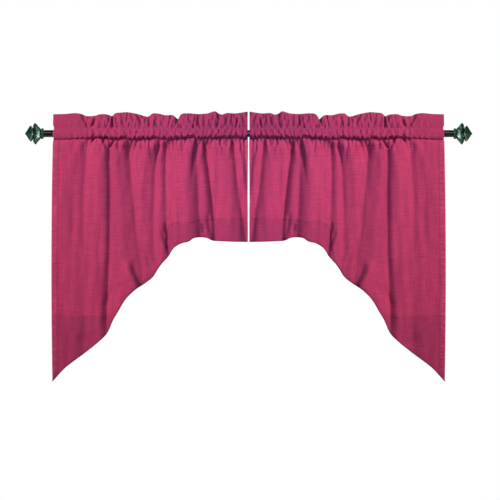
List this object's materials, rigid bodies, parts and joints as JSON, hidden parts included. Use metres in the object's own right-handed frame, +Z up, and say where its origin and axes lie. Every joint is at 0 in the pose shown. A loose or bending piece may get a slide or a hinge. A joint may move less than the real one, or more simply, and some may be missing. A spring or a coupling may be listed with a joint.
{
  "type": "swag and tail drape pair on a curtain rod",
  "caption": "Mirrored cloth swags with long outer tails that frame a window, gathered by ruffled rod pockets on a round curtain rod with square finials.",
  "frame": {"origin": "on the rod's axis, halfway along the rod", "axes": "+X to the right along the rod, -Y out of the cloth's face towards the room, +Z up"},
  "size_m": [1.53, 0.075, 0.9246],
  "materials": {
    "cloth": "matt crimson cotton chambray with a fine slub",
    "rod_paint": "satin black-green enamel on steel",
    "finial_paint": "dark green enamel, paler where it is rubbed on the edges"
  },
  "bodies": {
    "root": {"panel_left": "cloth", "panel_right": "cloth", "rod": "rod_paint", "collar_left": "finial_paint", "collar_right": "finial_paint", "finial_left": "finial_paint", "finial_right": "finial_paint"}
  },
  "joints": []
}
